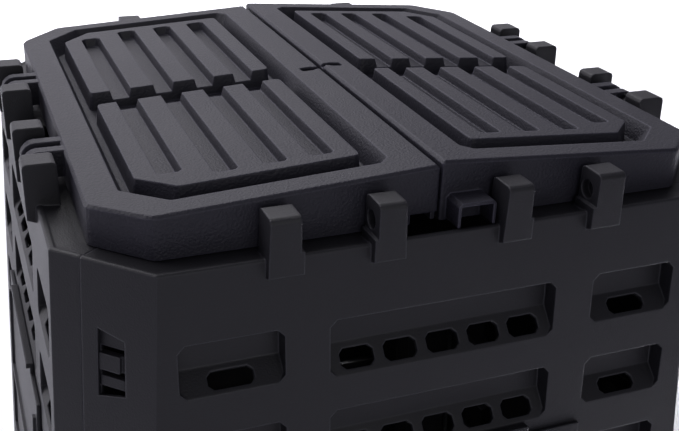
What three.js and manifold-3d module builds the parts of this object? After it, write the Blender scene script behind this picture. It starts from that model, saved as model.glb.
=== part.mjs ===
// Panelled compost bin: four identical tapered walls clipped together at chamfered corners,
// a sliding hatch in every wall and a lid of two leaves that open from the middle.
// Millimetres, +Z up, the front wall faces -Y.  The left leaf hinges along X-, the right along X+.
import * as THREE from "three";
import { mergeVertices } from "three/addons/utils/BufferGeometryUtils.js";
import Module from "manifold-3d";

const wasm = await Module();
wasm.setup();

// ---- driving dimensions ----
const lidDatum = 827.5;          // height of the left leaf at the seam
const wallTop = lidDatum - 39.5; // outer top edge of the walls
const halfWidthTop = 252;        // half width over the walls at wallTop
const halfWidthBase = 304;       // half width over the walls on the ground
const cornerLeg = 56;            // leg of the 45 degree corner chamfer
const skin = 3;                  // moulded wall thickness
const gap = 0.4;                 // clearance between neighbouring pieces

// where the corner seam falls, measured along the chamfer from each end of the flat wall
const outerWing = 55.6;          // wing that carries the latch windows
const innerWing = 23.2;          // wing that carries the tongue flange
const flangeReach = 37;          // flange hidden behind the neighbour's wing
const flangeRoot = 16;

// rim round the top of each wall
const rimDepth = 27;
const rimDrop = 2.2;
const rimThickness = 3;
const fingerNotchHalf = 36;      // half width of the gap in the rim below the grip

// louvre pockets
const rowPitch = 68;
const firstRowTop = wallTop - 50;
const pocketDepth = 14;
const pocketUpright = 24;        // height of the deep upright face
const sidePocket = { centre: 151.5, width: 70, height: 38.5, slots: [0], slotWidth: 31 };
const middlePocket = { centre: 0, width: 171, height: 42.5, slots: [-64, -32, 0, 32, 64], slotWidth: 24.5 };
const sideRows = 10;
const middleRows = 2;
const slotHeightShare = 0.62;    // share of the sloping face taken by a slot
const slotCorner = 3.4;
const pocketCorner = 5;

// hooks on the top of every wall, in mirrored pairs
const hookInner = [37, 55.5];
const hookOuter = [107.2, 127.2];
const hookTop = lidDatum - 10;
const hookStep = lidDatum - 34;
const hookBottom = lidDatum - 53;
const hookProud = 7;
const hookBack = 16;
const hookDraft = 1.5;           // outward draft of the hook's plain side, top to bottom
const hookRelief = 2.2;          // step below the socket on the side facing the partner hook
const hookEase = 3.2;

// hinges
const hingeInset = 7;            // hinge axis inside the wall's top edge
const hingeHeight = lidDatum - 25;
const pinRadius = 6.5;
const socketDepth = 6;
const lugRadius = 11;
const lugCentre = (hookInner[1] + hookOuter[0]) / 2;
const lugRibs = [[-14, -5], [5, 14]];

// hatch
const hatchHalfWidth = 114;
const hatchTop = 617.5;
const hatchGripTop = 626;
const hatchGripHalf = 68;
const hatchBottom = 12;
const hatchThickness = 3;
const hatchGripProud = 3;
const hatchHoleHalf = 98;
const hatchHoleTop = 596;
const hatchHoleBottom = 26;
const railTop = 588;

// lid leaves
const leafHalfWidth = 228;
const leafHalfDepth = 230.7;
const leafCorner = 35;
const leafRounding = 9;          // vertical corners of the leaf
const seamCorner = 1.5;
const reliefRounding = 5;
const leafSlope = 0.057;
const rightLeafLift = 2.5;       // the right leaf stands this much higher at the seam
const seamHalfGap = 0.9;
const hoodWall = 2;
const skirtBottom = lidDatum - 40.6;
const moatDepth = 15;
const troughDepth = 7.6;
const moatSpan = { x0: -205, x1: -27, y0: -211, y1: 214, outerCut: 28, seamCut: 8 };
const moatTopGrow = 1.8;         // the moat's walls lean: wider at the top, narrower at the floor
const moatFloorGrow = -7;
const blockSpan = [-192, -42];   // raised blocks inside the moat, across the leaf
const blockEnds = [[15, 197], [-192, -13.5]];
const blockCut = 24;             // cut-off outer corner of a block
const troughCentres = [168, 132.6, 98.2, 65];
const troughEnds = [-181, 187];
const shortTroughEnds = [-169, 176];
const troughHalfTop = 9.6;
const troughHalfFloor = 6.6;
const troughCut = 3;

// ---- materials ----
const blackPlastic = new THREE.MeshStandardMaterial({ color: 0x2a2a2e, roughness: 0.6, metalness: 0 });
const lidPlastic = new THREE.MeshStandardMaterial({ color: 0x303034, roughness: 0.62, metalness: 0 });

// outline with every corner replaced by a short arc
function rounded(outline, radii, steps = 3) {
  const points = outline.map(([x, y]) => new THREE.Vector2(x, y));
  return points.flatMap((corner, i) => {
    const before = points[(i + points.length - 1) % points.length];
    const after = points[(i + 1) % points.length];
    const toBefore = before.clone().sub(corner);
    const toAfter = after.clone().sub(corner);
    const halfAngle = Math.acos(toBefore.clone().normalize().dot(toAfter.clone().normalize())) / 2;
    const radius = Array.isArray(radii) ? radii[i] : radii;
    const reach = Math.min(radius / Math.tan(halfAngle), toBefore.length() * 0.45, toAfter.length() * 0.45);
    const start = corner.clone().addScaledVector(toBefore.normalize(), reach);
    const end = corner.clone().addScaledVector(toAfter.normalize(), reach);
    return Array.from({ length: steps }, (_, k) => {
      const t = k / (steps - 1);
      const a = start.clone().lerp(corner, t);
      const b = corner.clone().lerp(end, t);
      const p = a.lerp(b, t);
      return [p.x, p.y];
    });
  });
}

// ---- solid helpers ----
function solidOf(geometry) {
  geometry.deleteAttribute("normal");
  geometry.deleteAttribute("uv");
  const welded = mergeVertices(geometry, 1e-5);
  return new wasm.Manifold(new wasm.Mesh({
    numProp: 3,
    vertProperties: new Float32Array(welded.attributes.position.array),
    triVerts: new Uint32Array(welded.index.array),
  }));
}

// closed solid from points and triangles, turned inside out when its volume comes out negative
function outwardSolid(points, index) {
  let volume = 0;
  for (let i = 0; i < index.length; i += 3) {
    const [a, b, c] = index.slice(i, i + 3).map((k) => points[k]);
    volume += a.dot(new THREE.Vector3().crossVectors(b, c));
  }
  const outward = volume >= 0 ? index : index.slice().reverse();
  const geometry = new THREE.BufferGeometry();
  const positions = points.flatMap((p) => [p.x, p.y, p.z]);
  geometry.setAttribute("position", new THREE.Float32BufferAttribute(positions, 3));
  geometry.setIndex(outward);
  return solidOf(geometry);
}

// triangles that fill an outline, each running the same way round as the outline itself
function capTriangles(outline) {
  const outlineTurn = Math.sign(THREE.ShapeUtils.area(outline));
  return THREE.ShapeUtils.triangulateShape(outline, []).map(([a, b, c]) => {
    const turn = Math.sign(THREE.ShapeUtils.area([outline[a], outline[b], outline[c]]));
    return turn === outlineTurn ? [a, b, c] : [a, c, b];
  });
}

// solid between two rings of points with the same count; both rings run the same way
function solidBetween(lowRing, highRing, outline) {
  const count = lowRing.length;
  const triangles = capTriangles(outline);
  const index = [];
  const face = (a, b, c) => index.push(a, b, c);
  for (const [a, b, c] of triangles) {
    face(a, c, b);
    face(a + count, b + count, c + count);
  }
  for (let i = 0; i < count; i += 1) {
    const next = (i + 1) % count;
    face(i, next, next + count);
    face(i, next + count, i + count);
  }
  return outwardSolid([...lowRing, ...highRing], index);
}

// upright solid from a plan outline [[x, y], ...]; bottom and top heights may vary with x
function uprightSolid(outline, bottomAt, topAt, topOutline = outline) {
  const flat = outline.map(([x, y]) => new THREE.Vector2(x, y));
  const low = outline.map(([x, y]) => new THREE.Vector3(x, y, bottomAt(x)));
  const high = topOutline.map(([x, y]) => new THREE.Vector3(x, y, topAt(x)));
  return solidBetween(low, high, flat);
}

// solid from a side profile [[depth, height], ...] stretched across x0..x1 in a wall frame
function profileSolid(profile, x0, x1, frame) {
  const flat = profile.map(([d, h]) => new THREE.Vector2(d, h));
  const low = profile.map(([d, h]) => new THREE.Vector3(x0, h, -d).applyMatrix4(frame));
  const high = profile.map(([d, h]) => new THREE.Vector3(x1, h, -d).applyMatrix4(frame));
  return solidBetween(low, high, flat);
}

function boxSolid(x0, x1, y0, y1, z0, z1) {
  const geometry = new THREE.BoxGeometry(x1 - x0, y1 - y0, z1 - z0);
  geometry.translate((x0 + x1) / 2, (y0 + y1) / 2, (z0 + z1) / 2);
  return solidOf(geometry);
}

// cylinder along Y
function rodSolid(radius, x, z, y0, y1, sides) {
  const geometry = new THREE.CylinderGeometry(radius, radius, y1 - y0, sides);
  geometry.translate(x, (y0 + y1) / 2, z);
  return solidOf(geometry);
}

function sum(solids) {
  return solids.reduce((total, solid) => total.add(solid));
}

function turned(solid, quarterTurns) {
  return solid.rotate([0, 0, 90 * quarterTurns]);
}

function meshOf(solid, name, material) {
  const { vertProperties, triVerts } = solid.simplify(0.02).getMesh();
  const geometry = new THREE.BufferGeometry();
  geometry.setAttribute("position", new THREE.BufferAttribute(new Float32Array(vertProperties), 3));
  geometry.setIndex(new THREE.BufferAttribute(new Uint32Array(triVerts), 1));
  const flat = geometry.toNonIndexed();
  flat.computeVertexNormals();
  const mesh = new THREE.Mesh(flat, material);
  mesh.name = name;
  return mesh;
}

// ---- wall frame ----
const wallLean = (halfWidthBase - halfWidthTop) / wallTop;

function halfWidthAt(height) {
  return halfWidthTop + wallLean * (wallTop - height);
}

// frame on the outer face of the front wall: x along the wall, y up the face, z outward,
// with y = 0 on the ground
function frontFrame() {
  const up = new THREE.Vector3(0, wallLean, 1).normalize();
  const along = new THREE.Vector3(1, 0, 0);
  const out = new THREE.Vector3().crossVectors(along, up);
  return new THREE.Matrix4().makeBasis(along, up, out).setPosition(0, -halfWidthBase, 0);
}

// frame on the outer face of the front left corner chamfer: x runs towards the front wall
function cornerFrame() {
  const along = new THREE.Vector3(1, -1, 0).normalize();
  const up = new THREE.Vector3(wallLean, wallLean, 1).normalize();
  const out = new THREE.Vector3().crossVectors(along, up);
  const centre = -halfWidthBase + cornerLeg / 2;
  return new THREE.Matrix4().makeBasis(along, up, out).setPosition(centre, centre, 0);
}

const facePerHeight = Math.hypot(1, wallLean);
const cornerPerHeight = Math.hypot(1, wallLean, wallLean);

// ---- wall shell: a (depth, height) profile swept along the plan of the wall ----
function mitre(a, b) {
  const joined = a.clone().add(b);
  return joined.divideScalar(1 + a.dot(b));
}

function wallStations(height) {
  const half = halfWidthAt(height);
  const diagonal = Math.SQRT1_2;
  const inFront = new THREE.Vector2(0, 1);
  const inLeft = new THREE.Vector2(diagonal, diagonal);
  const inRight = new THREE.Vector2(-diagonal, diagonal);
  const left = new THREE.Vector2(-half + cornerLeg, -half);
  const right = new THREE.Vector2(half - cornerLeg, -half);
  const alongLeft = new THREE.Vector2(-diagonal, diagonal);
  const alongRight = new THREE.Vector2(diagonal, diagonal);
  const onRight = (distance) => right.clone().addScaledVector(alongRight, distance);
  return {
    leftEnd: { at: left.clone().addScaledVector(alongLeft, outerWing), inward: inLeft },
    left: { at: left, inward: mitre(inFront, inLeft) },
    right: { at: right, inward: mitre(inFront, inRight) },
    rightEnd: { at: onRight(innerWing), inward: inRight },
    flangeStart: { at: onRight(innerWing - flangeRoot), inward: inRight },
    flangeEnd: { at: onRight(innerWing + flangeReach), inward: inRight },
  };
}

function sweptWall(profile, stationNames) {
  const count = profile.length;
  const rings = stationNames.map((name) => profile.map(([depth, height]) => {
    const { at, inward } = wallStations(height)[name];
    return new THREE.Vector3(at.x + inward.x * depth, at.y + inward.y * depth, height);
  }));
  const triangles = capTriangles(profile.map(([d, h]) => new THREE.Vector2(d, h)));
  const index = [];
  const face = (a, b, c) => index.push(a, b, c);
  const last = (rings.length - 1) * count;
  for (const [a, b, c] of triangles) {
    face(a, c, b);
    face(a + last, b + last, c + last);
  }
  for (let ring = 0; ring + 1 < rings.length; ring += 1) {
    const base = ring * count;
    for (let i = 0; i < count; i += 1) {
      const next = (i + 1) % count;
      face(base + i, base + next, base + count + next);
      face(base + i, base + count + next, base + count + i);
    }
  }
  return outwardSolid(rings.flat(), index);
}

function wallShell() {
  const rimTop = wallTop - rimDrop;
  const profile = [
    [0, 0],
    [0, wallTop - 1.2],
    [1.2, wallTop],
    [3.4, wallTop],
    [5, wallTop - 0.9],
    [rimDepth - 7, rimTop],
    [rimDepth, rimTop],
    [rimDepth, rimTop - rimThickness],
    [skin + 4, rimTop - rimThickness],
    [skin, rimTop - rimThickness - 4],
    [skin, 0],
  ];
  return sweptWall(profile, ["leftEnd", "left", "right", "rightEnd"]);
}

// flange that slips behind the neighbour's wing
function tongueFlange() {
  const low = 10;
  const high = wallTop - 14;
  const inner = skin * 2 + gap;
  const root = sweptWall(
    [[skin - 0.2, low], [skin - 0.2, high], [inner, high], [inner, low]], ["flangeStart", "rightEnd"]);
  const reach = sweptWall(
    [[skin + gap, low], [skin + gap, high], [inner, high], [inner, low]], ["flangeStart", "flangeEnd"]);
  return root.add(reach);
}

// ---- louvre pockets ----
function pocketRows(pocket) {
  const rows = pocket === middlePocket ? middleRows : sideRows;
  return Array.from({ length: rows }, (_, row) => firstRowTop - row * rowPitch);
}

function pocketCentres(pocket) {
  return pocket.centre === 0 ? [0] : [-pocket.centre, pocket.centre];
}

function pocketShapes(pocket, top, centre, frame) {
  const high = top * facePerHeight;
  const crease = high - pocketUpright;
  const low = high - pocket.height;
  const x0 = centre - pocket.width / 2;
  const x1 = centre + pocket.width / 2;
  const boss = profileSolid(
    [[skin - 0.2, high + skin], [pocketDepth + skin, high + skin], [pocketDepth + skin, crease - 1],
      [skin - 0.2, low - 2.5]],
    x0 - skin, x1 + skin, frame);
  const hollow = profileSolid(
    [[-2, high], [pocketDepth, high], [pocketDepth, crease], [0, low], [-2, low]], x0, x1, frame);
  const mouth = rounded([[x0, low], [x1, low], [x1, high], [x0, high]], pocketCorner, 2);
  const ring = (out) => mouth.map(([x, y]) => new THREE.Vector3(x, y, out).applyMatrix4(frame));
  const flat = mouth.map(([x, y]) => new THREE.Vector2(x, y));
  const softened = hollow.intersect(solidBetween(ring(-pocketDepth - 1), ring(3), flat));
  return { boss, hollow: softened, crease, low };
}

// slot with rounded corners, pierced at right angles through the sloping face
function slotCutter(x, halfWidth, crease, low, frame) {
  const slope = new THREE.Vector2(pocketDepth, crease - low);
  const length = slope.length();
  slope.normalize();
  const halfHeight = (length * slotHeightShare) / 2;
  const middle = length * 0.47;
  const outline = rounded(
    [[-halfWidth, -halfHeight], [halfWidth, -halfHeight], [halfWidth, halfHeight], [-halfWidth, halfHeight]],
    slotCorner, 2);
  const through = [-5, skin + 9];
  const ring = (step) => outline.map(([across, along]) => {
    const distance = middle + along;
    const depth = slope.x * distance + slope.y * step;
    const height = low + slope.y * distance - slope.x * step;
    return new THREE.Vector3(x + across, height, -depth).applyMatrix4(frame);
  });
  const flat = outline.map(([a, b]) => new THREE.Vector2(a, b));
  return solidBetween(ring(through[1]), ring(through[0]), flat);
}

function louvres(frame) {
  const bosses = [];
  const cutters = [];
  for (const pocket of [sidePocket, middlePocket]) {
    for (const top of pocketRows(pocket)) {
      for (const centre of pocketCentres(pocket)) {
        const { boss, hollow, crease, low } = pocketShapes(pocket, top, centre, frame);
        bosses.push(boss);
        cutters.push(hollow);
        for (const offset of pocket.slots) {
          cutters.push(slotCutter(centre + offset, pocket.slotWidth / 2, crease, low, frame));
        }
      }
    }
  }
  return { bosses: sum(bosses), cutters: sum(cutters) };
}

// ---- hooks ----
// one hook: the plain side drafts outward, the side facing the partner hook steps out below the socket
function hookSolid(plainSide, partnerSide) {
  const front = -halfWidthTop - hookProud;
  const back = -halfWidthTop + hookBack;
  const ease = hookEase;
  const profile = [
    [front, hookBottom + ease], [front, hookTop - ease], [front + ease * 0.3, hookTop - ease * 0.3],
    [front + ease, hookTop], [back - ease, hookTop], [back - ease * 0.3, hookTop - ease * 0.3],
    [back, hookTop - ease], [back, wallTop - rimDrop - 1], [-halfWidthTop + 1, wallTop - 6],
    [-halfWidthTop + 1, hookBottom],
  ];
  const away = Math.sign(plainSide - partnerSide);
  const plainAt = (z) => plainSide + (away * hookDraft * (hookTop - z)) / (hookTop - hookBottom);
  const body = (points, partner) => {
    const flat = points.map(([y, z]) => new THREE.Vector2(y, z));
    const plainRing = points.map(([y, z]) => new THREE.Vector3(plainAt(z), y, z));
    const partnerRing = points.map(([y, z]) => new THREE.Vector3(partner, y, z));
    return solidBetween(plainRing, partnerRing, flat);
  };
  const below = [
    [front, hookBottom + ease], [front, hookStep], [back, hookStep], [back, wallTop - rimDrop - 1],
    [-halfWidthTop + 1, wallTop - 6], [-halfWidthTop + 1, hookBottom],
  ];
  return body(profile, partnerSide).add(body(below, partnerSide - away * hookRelief));
}

function hooks() {
  const solids = [];
  for (const side of [-1, 1]) {
    solids.push(hookSolid(side * hookInner[0], side * hookInner[1]));
    solids.push(hookSolid(side * hookOuter[1], side * hookOuter[0]));
  }
  return sum(solids);
}

// round sockets in the facing sides of each hook pair, drawn for the front wall (axis along X)
function sockets() {
  const radius = pinRadius + gap;
  const solids = [];
  for (const side of [-1, 1]) {
    const geometry = new THREE.CylinderGeometry(
      radius, radius, hookOuter[0] - hookInner[1] + 2 * socketDepth, 16);
    geometry.rotateZ(Math.PI / 2);
    geometry.translate(side * lugCentre, -halfWidthTop + hingeInset, hingeHeight);
    solids.push(solidOf(geometry));
  }
  return sum(solids);
}

// ---- corner latches ----
const latchTops = [0, 4, 8].map((row) => firstRowTop + 5 - row * rowPitch);

// each block in a window: from and to along the corner, lower and upper drop, outward face
const latchBlocks = [[-3.3, 12.2, 29, 17.5, -0.8], [-2.4, 15.8, 40.5, 33.5, -1.6]];

// tapering window in the outer wing, seen from the front left corner
function latchWindows(frame) {
  return sum(latchTops.map((height) => {
    const top = height * cornerPerHeight;
    const outline = [[-3.8, top - 48], [17, top - 44], [16.4, top - 5], [-3.8, top]];
    const flat = outline.map(([a, b]) => new THREE.Vector2(a, b));
    const ring = (out) => outline.map(([a, b]) => new THREE.Vector3(a, b, out).applyMatrix4(frame));
    return solidBetween(ring(-skin - 0.15), ring(3), flat);
  }));
}

// snap tongues on the flange that show in the neighbour's window
function latchTongues(frame) {
  const inner = -skin * 2 - gap;
  const slots = [];
  const tongues = [];
  for (const height of latchTops) {
    const top = height * cornerPerHeight;
    slots.push(boxSolid(-3.8, 17, top - 50, top - 13, inner - 2, inner + skin + 0.1));
    for (const [s0, s1, low, high, out] of latchBlocks) {
      tongues.push(boxSolid(-6, 19, top - low, top - high, inner, inner + skin));
      tongues.push(boxSolid(s0, s1, top - low, top - high, inner + 1, out));
    }
  }
  return {
    slots: sum(slots).transform(frame.elements),
    tongues: sum(tongues).transform(frame.elements),
  };
}

// ---- hatch opening and rails on the wall ----
function hatchOpening(frame) {
  const s = facePerHeight;
  return boxSolid(-hatchHoleHalf, hatchHoleHalf, hatchHoleBottom * s, hatchHoleTop * s, -20, 5)
    .transform(frame.elements);
}

function hatchRails(frame) {
  const s = facePerHeight;
  const rails = [];
  for (const side of [-1, 1]) {
    const across = (a, b) => (side > 0 ? [a, b] : [-b, -a]);
    const [w0, w1] = across(hatchHalfWidth + 0.8, hatchHalfWidth + 4.3);
    const [l0, l1] = across(hatchHalfWidth - 4.5, hatchHalfWidth + 4.3);
    rails.push(boxSolid(w0, w1, 8 * s, railTop * s, -0.5, hatchThickness + 2.6));
    rails.push(boxSolid(l0, l1, 8 * s, railTop * s, hatchThickness + 0.9, hatchThickness + 2.6));
  }
  rails.push(boxSolid(-hatchHalfWidth - 4, hatchHalfWidth + 4, 6 * s, (hatchBottom - 0.5) * s, -0.5,
    hatchThickness + 2.6));
  return sum(rails).transform(frame.elements);
}

// ---- one wall, drawn as the front wall ----
function wallSolid() {
  const front = frontFrame();
  const corner = cornerFrame();
  const { bosses, cutters } = louvres(front);
  const { slots, tongues } = latchTongues(corner);
  const flangeParts = tongueFlange().subtract(turned(slots, 1)).add(turned(tongues, 1));
  const fingerNotch = boxSolid(-fingerNotchHalf, fingerNotchHalf, -halfWidthTop + 4.6, -halfWidthTop + 40,
    wallTop - rimDrop - rimThickness - 5, wallTop + 2);
  return wallShell()
    .subtract(fingerNotch)
    .add(bosses)
    .subtract(cutters)
    .subtract(latchWindows(corner))
    .add(hooks())
    .subtract(sockets())
    .add(flangeParts)
    .subtract(hatchOpening(front))
    .add(hatchRails(front));
}

// ---- hatch, drawn for the front wall ----
function hatchSolid() {
  const s = facePerHeight;
  const front = frontFrame();
  const face = gap + hatchThickness;
  const plate = boxSolid(-hatchHalfWidth, hatchHalfWidth, hatchBottom * s, hatchTop * s, gap, face);
  const gripRise = boxSolid(-hatchGripHalf, hatchGripHalf, (hatchTop - 2) * s, hatchGripTop * s, gap, face);
  const gripLip = boxSolid(-hatchGripHalf, hatchGripHalf, (hatchGripTop - 4) * s, hatchGripTop * s,
    face - 1, face + hatchGripProud);
  const ribs = [];
  const ribHalf = hatchHalfWidth - 10;
  for (let height = hatchBottom + 30; height < hatchTop - 40; height += rowPitch) {
    ribs.push(boxSolid(-ribHalf, ribHalf, height * s, (height + 5) * s, face - 1, face + 2.5));
  }
  for (const side of [-1, 1]) {
    ribs.push(boxSolid(side * ribHalf - 2.5, side * ribHalf + 2.5, (hatchBottom + 10) * s,
      (hatchTop - 16) * s, face - 1, face + 2.5));
  }
  return sum([plate, gripRise, gripLip, ...ribs]).transform(front.elements);
}

// ---- lid leaves, drawn as the left leaf (x negative) ----
function chamferedOutline(x0, x1, y0, y1, outerCut, seamCut) {
  return [
    [x1, y0 + seamCut], [x1, y1 - seamCut], [x1 - seamCut, y1], [x0 + outerCut, y1], [x0, y1 - outerCut],
    [x0, y0 + outerCut], [x0 + outerCut, y0], [x1 - seamCut, y0],
  ];
}

function leafOutline(inset) {
  const x0 = -leafHalfWidth + inset;
  const x1 = -seamHalfGap - inset;
  const y = leafHalfDepth - inset;
  const cut = leafCorner - inset * (2 - Math.SQRT2);
  const radii = [seamCorner, seamCorner, leafRounding, leafRounding, leafRounding, leafRounding];
  return rounded([[x1, -y], [x1, y], [x0 + cut, y], [x0, y - cut], [x0, -y + cut], [x0 + cut, -y]], radii);
}

// recess cutter: from the given depth below the leaf's top up through the top face
function sunkSolid(floorOutline, topOutline, floorDepth, topAt) {
  return uprightSolid(floorOutline, (x) => topAt(x) - floorDepth, (x) => topAt(x) + 4, topOutline);
}

function moatOutline(grow) {
  const { x0, x1, y0, y1, outerCut, seamCut } = moatSpan;
  return rounded(
    chamferedOutline(x0 - grow, x1 + grow, y0 - grow, y1 + grow, outerCut, seamCut), reliefRounding);
}

// raised block in the moat; the corner nearest the leaf's own outer corner is cut off
function blockOutline([y0, y1], grow) {
  const x0 = blockSpan[0] - grow;
  const x1 = blockSpan[1] + grow;
  const low = y0 - grow;
  const high = y1 + grow;
  const cut = blockCut + grow * 0.6;
  const outer = y0 > 0
    ? [[x0 + blockCut, high], [x0, high - cut], [x0, low]]
    : [[x0, high], [x0, low + cut], [x0 + blockCut, low]];
  return rounded([[x1, low], [x1, high], ...outer], reliefRounding * 0.8);
}

function troughSolid(centre, [y0, y1], topAt) {
  const rect = (half, end) => chamferedOutline(
    -centre - half, -centre + half, y0 - end, y1 + end, troughCut, troughCut);
  return sunkSolid(rect(troughHalfFloor, -2), rect(troughHalfTop, 0.8), troughDepth, topAt);
}

function leafRelief(topAt) {
  const moat = sunkSolid(moatOutline(moatFloorGrow), moatOutline(moatTopGrow), moatDepth, topAt);
  const blocks = blockEnds.map(
    (ends) => sunkSolid(blockOutline(ends, 1.4), blockOutline(ends, -0.8), moatDepth + 1, topAt));
  const troughs = troughCentres.map(
    (centre, i) => troughSolid(centre, i === 0 ? shortTroughEnds : troughEnds, topAt));
  return moat.subtract(sum(blocks)).add(sum(troughs));
}

function lugSolid(centre) {
  const axisX = -halfWidthTop + hingeInset;
  const rootX = -leafHalfWidth + 1.5;
  return sum(lugRibs.map(([from, to]) => {
    const round = rodSolid(lugRadius, axisX, hingeHeight, centre + from, centre + to, 18);
    const arm = uprightSolid(
      [[axisX, centre + from], [rootX, centre + from], [rootX, centre + to], [axisX, centre + to]],
      () => hingeHeight - lugRadius + 2, () => hingeHeight + lugRadius - 0.1);
    return round.add(arm);
  })).add(boxSolid(rootX - 6, rootX, centre - 10, centre + 10, hingeHeight - lugRadius + 2, hingeHeight + 7));
}

function leafSolid(lift) {
  const slope = leafSlope + lift / leafHalfWidth;
  const topAt = (x) => lidDatum + lift + slope * x;
  const body = uprightSolid(leafOutline(0), () => skirtBottom, (x) => topAt(x) - 2)
    .add(uprightSolid(leafOutline(0), (x) => topAt(x) - 2.02, topAt, leafOutline(2)));
  const lugs = [-lugCentre, lugCentre].map(lugSolid);
  const axisX = -halfWidthTop + hingeInset;
  const bores = [-lugCentre, lugCentre].map(
    (y) => rodSolid(pinRadius + gap, axisX, hingeHeight, y - 20, y + 20, 16));
  return body.subtract(leafHollow(topAt)).subtract(leafRelief(topAt)).add(sum(lugs)).subtract(sum(bores));
}

// underside of the leaf: hollow below the moat floor, deeper under the blocks and under the rim
function leafHollow(topAt) {
  const low = () => skirtBottom - 5;
  const underMoat = uprightSolid(leafOutline(skin), low, (x) => topAt(x) - moatDepth - skin);
  const moatWall = uprightSolid(moatOutline(moatTopGrow + skin), low, (x) => topAt(x));
  const underRim = uprightSolid(leafOutline(skin), low, (x) => topAt(x) - skin).subtract(moatWall);
  const underBlocks = blockEnds.map((ends) => uprightSolid(
    blockOutline(ends, -skin), low, (x) => topAt(x) - troughDepth - skin));
  return sum([underMoat, underRim, ...underBlocks]);
}

// elongated finger slot beside the seam with a shallow channel across to it
function seamSlot(topAt) {
  const slot = uprightSolid(
    rounded([[-18.5, -5], [-6, -5], [-6, 5], [-18.5, 5]], 3),
    () => lidDatum - 30, (x) => topAt(x) + 5);
  const channel = uprightSolid(
    [[-8, -3.2], [2, -3.2], [2, 3.2], [-8, 3.2]], (x) => topAt(x) - 3, (x) => topAt(x) + 5);
  return slot.add(channel);
}

function leftLeaf() {
  const topAt = (x) => lidDatum + leafSlope * x;
  const notch = boxSolid(-21, 1, -leafHalfDepth - 2, -leafHalfDepth + skin + 1, skirtBottom - 2,
    lidDatum - 33.5);
  return leafSolid(0).subtract(seamSlot(topAt)).subtract(notch);
}

// inverted U hood over the front edge of the right leaf, open to the front and below
function gripHood() {
  const outline = (inset, front) => {
    const x0 = -33.5 + inset;
    const x1 = -5.5 - inset;
    return [[x0, front], [x1, front], [x1, -leafHalfDepth + 1], [x0, -leafHalfDepth + 1]];
  };
  const front = -leafHalfDepth - 18.5;
  const lower = wallTop + 0.6;
  const upper = lidDatum - 21.5;
  const eased = outline(0, front).map(([x, y]) => [x < -20 ? x + 2.5 : x - 2.5, y]);
  const shell = uprightSolid(outline(0, front), () => lower, () => upper - 2.5)
    .add(uprightSolid(outline(0, front), () => upper - 2.52, () => upper, eased));
  const hollow = outline(hoodWall, front - 3).map(([x, y]) => [x, Math.min(y, -leafHalfDepth)]);
  return shell.subtract(uprightSolid(hollow, () => lower - 3, () => upper - hoodWall - 0.6));
}

function rightLeaf() {
  const lift = rightLeafLift;
  const topAt = (x) => lidDatum + lift + (leafSlope + lift / leafHalfWidth) * x;
  const drawn = leafSolid(lift).subtract(seamSlot(topAt)).add(gripHood());
  return drawn.mirror([1, 0, 0]);
}

function hingePin(side, centre) {
  const reach = (hookOuter[0] - hookInner[1]) / 2 + socketDepth - 0.6;
  const axisX = side * (halfWidthTop - hingeInset);
  return rodSolid(pinRadius, axisX, hingeHeight, centre - reach, centre + reach, 16);
}

// ---- assembly ----
const part = new THREE.Group();
part.name = "compost_bin";
const wall = wallSolid();
const hatch = hatchSolid();
for (const [index, side] of ["front", "right", "back", "left"].entries()) {
  part.add(meshOf(turned(wall, index), `wall_${side}`, blackPlastic));
  part.add(meshOf(turned(hatch, index), `hatch_${side}`, blackPlastic));
}
part.add(meshOf(leftLeaf(), "lid_leaf_left", lidPlastic));
part.add(meshOf(rightLeaf(), "lid_leaf_right", lidPlastic));
for (const [sideName, side] of [["left", -1], ["right", 1]]) {
  for (const [endName, end] of [["front", -1], ["back", 1]]) {
    part.add(meshOf(hingePin(side, end * lugCentre), `hinge_pin_${sideName}_${endName}`, blackPlastic));
  }
}

export default part;
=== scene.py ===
"""Panelled compost bin with a two-leaf lid, seen from the front left, close up."""
import math

import bpy
from mathutils import Euler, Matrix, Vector

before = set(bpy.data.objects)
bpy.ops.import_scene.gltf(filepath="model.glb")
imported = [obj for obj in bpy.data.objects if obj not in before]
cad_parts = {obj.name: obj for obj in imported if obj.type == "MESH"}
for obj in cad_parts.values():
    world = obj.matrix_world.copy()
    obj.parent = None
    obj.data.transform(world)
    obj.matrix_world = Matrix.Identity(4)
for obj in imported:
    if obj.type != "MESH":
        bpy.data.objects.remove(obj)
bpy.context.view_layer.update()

# ---- camera ----
CAMERA_AT = (-0.2925, -0.7784, 1.0765)
CAMERA_TURN_DEG = (64.964, -1.662, -21.176)
CAMERA_LENS_MM = 53.4
SENSOR_WIDTH_MM = 36.0

# ---- edges, in metres and degrees ----
# bevel radius for each kind of piece; the walls have none, their edges are rounded by the material
EDGE_RADIUS = {"hatch": 0.0008, "lid_leaf": 0.0009, "hinge_pin": 0.0005}
EDGE_SEGMENTS = 3
EDGE_MIN_ANGLE = 28.0
FLAT_MAX_ANGLE = 0.6
SHADED_EDGE_RADIUS = 0.0020
SHADED_EDGE_SAMPLES = 6

# ---- plastic: linear colours, grain height in metres ----
PLASTICS = {
    "wall": {
        "colour": (0.0135, 0.0132, 0.0165),
        "roughness": 0.46,
        "grain_scale": 800.0,
        "grain_height": 0.0003,
    },
    "lid": {
        "colour": (0.0190, 0.0182, 0.0270),
        "roughness": 0.48,
        "grain_scale": 560.0,
        "grain_height": 0.0008,
    },
}
SPECULAR_LEVEL = 0.32
GRAIN_STRENGTH = 0.75
GRAIN_DETAIL = 3.0
CLOUD_SCALE = 9.0
CLOUD_DETAIL = 4.0
TONE_SWING = 0.12
GLOSS_SWING = 0.05
EDGE_HIGHLIGHT_LIFT = 3.2                  # painted highlight: how much lighter the plastic is painted on its edges
EDGE_HIGHLIGHT_RANGE = (0.995, 0.80)  # agreement of the two normals where the mask is 0 and 1

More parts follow.
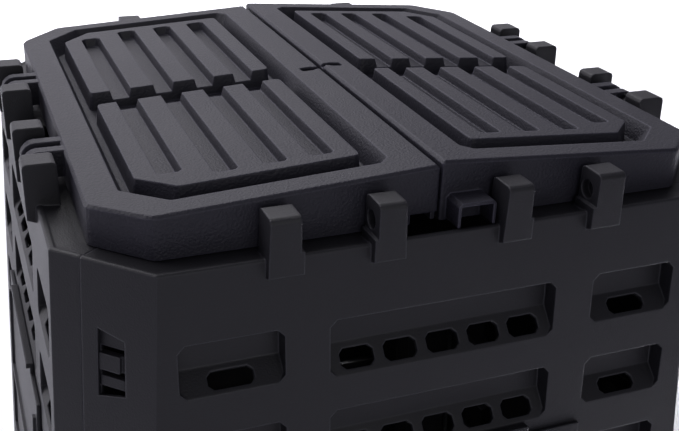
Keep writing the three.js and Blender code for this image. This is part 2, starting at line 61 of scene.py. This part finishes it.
# ---- studio ----
SWEEP_TOWARDS = (-0.45, 0.85, 0.22)
SWEEP_COLOUR = (0.92, 0.89, 1.0)
ROOM_COLOUR = (0.10, 0.10, 0.115)
SWEEP_FADE = (0.15, 0.85)        # where the room ends and the sweep is full, as a cosine
WORLD_STRENGTH = 1.08
FLOOR_SIZE = 40.0
FLOOR_DROP = 0.0005
FLOOR_COLOUR = (0.82, 0.82, 0.88)
FLOOR_ROUGHNESS = 0.7
ALL_ROUND = 180.0
AREA_LIGHTS = {
    "overhead": {
        "at": (-0.5, 1.1, 2.6),
        "target": (-0.1, 0.1, 0.8),
        "size": (2.4, 1.4),
        "watts": 26.0,
        "spread_deg": ALL_ROUND,
    },
    "left_bank": {
        "at": (-2.2, 1.4, 1.4),
        "target": (0.0, 0.0, 0.5),
        "size": (1.4, 1.6),
        "watts": 11.0,
        "spread_deg": ALL_ROUND,
    },
    "front_fill": {
        "at": (-0.2, -2.8, 1.7),
        "target": (0.0, 0.0, 0.75),
        "size": (2.2, 1.4),
        "watts": 17.0,
        "spread_deg": ALL_ROUND,
    },
    "far_floor": {
        "at": (1.3, 4.4, 3.4),
        "target": (1.3, 4.4, 0.0),
        "size": (5.0, 4.4),
        "watts": 190.0,
        "spread_deg": 70.0,
    },
    "right_floor": {
        "at": (1.35, 0.75, 2.2),
        "target": (1.15, 0.6, 0.0),
        "size": (0.9, 0.9),
        "watts": 62.0,
        "spread_deg": 60.0,
    },
}


def opaque(colour, share=1.0):
    """The colour times share, as RGBA."""
    return (*[channel * share for channel in colour], 1.0)


# ---- materials ----
def new_material(name):
    material = bpy.data.materials.new(name)
    material.use_nodes = True
    return material, material.node_tree.nodes, material.node_tree.links


def noise(nodes, links, coords, scale, detail):
    texture = nodes.new("ShaderNodeTexNoise")
    texture.inputs["Scale"].default_value = scale
    texture.inputs["Detail"].default_value = detail
    links.new(coords.outputs["Object"], texture.inputs["Vector"])
    return texture.outputs["Fac"]


def edge_highlight_mask(nodes, links, rounded_normal):
    """0 on flat faces, 1 on edges, where a painted highlight lightens the plastic."""
    geometry = nodes.new("ShaderNodeNewGeometry")
    agreement = nodes.new("ShaderNodeVectorMath")
    agreement.operation = "DOT_PRODUCT"
    links.new(rounded_normal, agreement.inputs[0])
    links.new(geometry.outputs["Normal"], agreement.inputs[1])
    mask = nodes.new("ShaderNodeMapRange")
    mask.inputs["From Min"].default_value = EDGE_HIGHLIGHT_RANGE[0]
    mask.inputs["From Max"].default_value = EDGE_HIGHLIGHT_RANGE[1]
    links.new(agreement.outputs["Value"], mask.inputs["Value"])
    return mask.outputs["Result"]


def plastic_tone(nodes, links, colour, cloud, rounded_normal):
    """Cloudy base colour, with a painted highlight along the edges."""
    tone = nodes.new("ShaderNodeMix")
    tone.data_type = "RGBA"
    tone.inputs["A"].default_value = opaque(colour, 1.0 - TONE_SWING)
    tone.inputs["B"].default_value = opaque(colour, 1.0 + TONE_SWING)
    links.new(cloud, tone.inputs["Factor"])
    # painted highlight: the edges are mixed towards a lighter copy of the colour
    edge_highlight_tone = nodes.new("ShaderNodeMix")
    edge_highlight_tone.data_type = "RGBA"
    edge_highlight_tone.inputs["B"].default_value = opaque(colour, EDGE_HIGHLIGHT_LIFT)
    links.new(edge_highlight_mask(nodes, links, rounded_normal), edge_highlight_tone.inputs["Factor"])
    links.new(tone.outputs["Result"], edge_highlight_tone.inputs["A"])
    return edge_highlight_tone.outputs["Result"]


def plastic(name, colour, roughness, grain_scale, grain_height):
    """Moulded polypropylene: pebbled grain, cloudiness in tone and gloss, softened edges with a
    painted highlight.
    """
    material, nodes, links = new_material(name)
    shader = nodes["Principled BSDF"]
    coords = nodes.new("ShaderNodeTexCoord")
    cloud = noise(nodes, links, coords, CLOUD_SCALE, CLOUD_DETAIL)
    grain = noise(nodes, links, coords, grain_scale, GRAIN_DETAIL)

    rounded_edges = nodes.new("ShaderNodeBevel")
    rounded_edges.samples = SHADED_EDGE_SAMPLES
    rounded_edges.inputs["Radius"].default_value = SHADED_EDGE_RADIUS
    rounded_normal = rounded_edges.outputs["Normal"]
    tone = plastic_tone(nodes, links, colour, cloud, rounded_normal)
    links.new(tone, shader.inputs["Base Color"])

    gloss = nodes.new("ShaderNodeMapRange")
    gloss.inputs["To Min"].default_value = roughness - GLOSS_SWING
    gloss.inputs["To Max"].default_value = roughness + GLOSS_SWING
    links.new(cloud, gloss.inputs["Value"])
    links.new(gloss.outputs["Result"], shader.inputs["Roughness"])

    bump = nodes.new("ShaderNodeBump")
    bump.inputs["Strength"].default_value = GRAIN_STRENGTH
    bump.inputs["Distance"].default_value = grain_height
    links.new(grain, bump.inputs["Height"])
    links.new(rounded_normal, bump.inputs["Normal"])
    links.new(bump.outputs["Normal"], shader.inputs["Normal"])
    shader.inputs["Specular IOR Level"].default_value = SPECULAR_LEVEL
    return material


# ---- pieces ----
def soften(obj, radius):
    """Merges flat triangles, then rounds every real edge."""
    flat = obj.modifiers.new("merge_flat", "DECIMATE")
    flat.decimate_type = "DISSOLVE"
    flat.angle_limit = math.radians(FLAT_MAX_ANGLE)
    bevel = obj.modifiers.new("round_edges", "BEVEL")
    bevel.width = radius
    bevel.segments = EDGE_SEGMENTS
    bevel.limit_method = "ANGLE"
    bevel.angle_limit = math.radians(EDGE_MIN_ANGLE)
    bevel.use_clamp_overlap = False


def dress_nodes(materials):
    for name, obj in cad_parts.items():
        material = "lid" if name.startswith("lid_leaf") else "wall"
        obj.data.materials.clear()
        obj.data.materials.append(materials[material])
        for kind, radius in EDGE_RADIUS.items():
            if name.startswith(kind):
                soften(obj, radius)


# ---- surroundings ----
def studio_world():
    """A bright sweep low behind and to the left, falling off to a dim room elsewhere."""
    world = bpy.data.worlds.new("studio")
    world.use_nodes = True
    nodes, links = world.node_tree.nodes, world.node_tree.links
    background = nodes["Background"]
    coords = nodes.new("ShaderNodeTexCoord")
    facing = nodes.new("ShaderNodeVectorMath")
    facing.operation = "DOT_PRODUCT"
    facing.inputs[1].default_value = Vector(SWEEP_TOWARDS).normalized()
    links.new(coords.outputs["Generated"], facing.inputs[0])
    ramp = nodes.new("ShaderNodeValToRGB")
    room, sweep = ramp.color_ramp.elements
    room.position, sweep.position = SWEEP_FADE
    room.color = opaque(ROOM_COLOUR)
    sweep.color = opaque(SWEEP_COLOUR)
    links.new(facing.outputs["Value"], ramp.inputs["Fac"])
    links.new(ramp.outputs["Color"], background.inputs["Color"])
    background.inputs["Strength"].default_value = WORLD_STRENGTH
    bpy.context.scene.world = world


def studio_floor():
    bpy.ops.mesh.primitive_plane_add(size=FLOOR_SIZE, location=(0.0, 0.0, -FLOOR_DROP))
    floor = bpy.context.object
    floor.name = "studio_floor"
    material, nodes, _ = new_material("studio_floor")
    nodes["Principled BSDF"].inputs["Base Color"].default_value = opaque(FLOOR_COLOUR)
    nodes["Principled BSDF"].inputs["Roughness"].default_value = FLOOR_ROUGHNESS
    floor.data.materials.append(material)


def area_light(name, at, target, size, watts, spread_deg):
    data = bpy.data.lights.new(name, "AREA")
    data.shape = "RECTANGLE"
    data.size, data.size_y = size
    data.energy = watts
    data.spread = math.radians(spread_deg)
    light = bpy.data.objects.new(name, data)
    bpy.context.scene.collection.objects.link(light)
    light.location = at
    light.rotation_euler = (Vector(target) - Vector(at)).to_track_quat("-Z", "Y").to_euler()


def studio_camera():
    data = bpy.data.cameras.new("camera")
    data.lens = CAMERA_LENS_MM
    data.sensor_width = SENSOR_WIDTH_MM
    camera = bpy.data.objects.new("camera", data)
    camera.location = CAMERA_AT
    camera.rotation_euler = Euler([math.radians(turn) for turn in CAMERA_TURN_DEG], "XYZ")
    bpy.context.scene.collection.objects.link(camera)
    bpy.context.scene.camera = camera


dress_nodes({kind: plastic(f"{kind}_plastic", **look) for kind, look in PLASTICS.items()})
studio_world()
studio_floor()
for light_name, light_spec in AREA_LIGHTS.items():
    area_light(light_name, **light_spec)
studio_camera()
bpy.context.scene.view_settings.view_transform = "Standard"
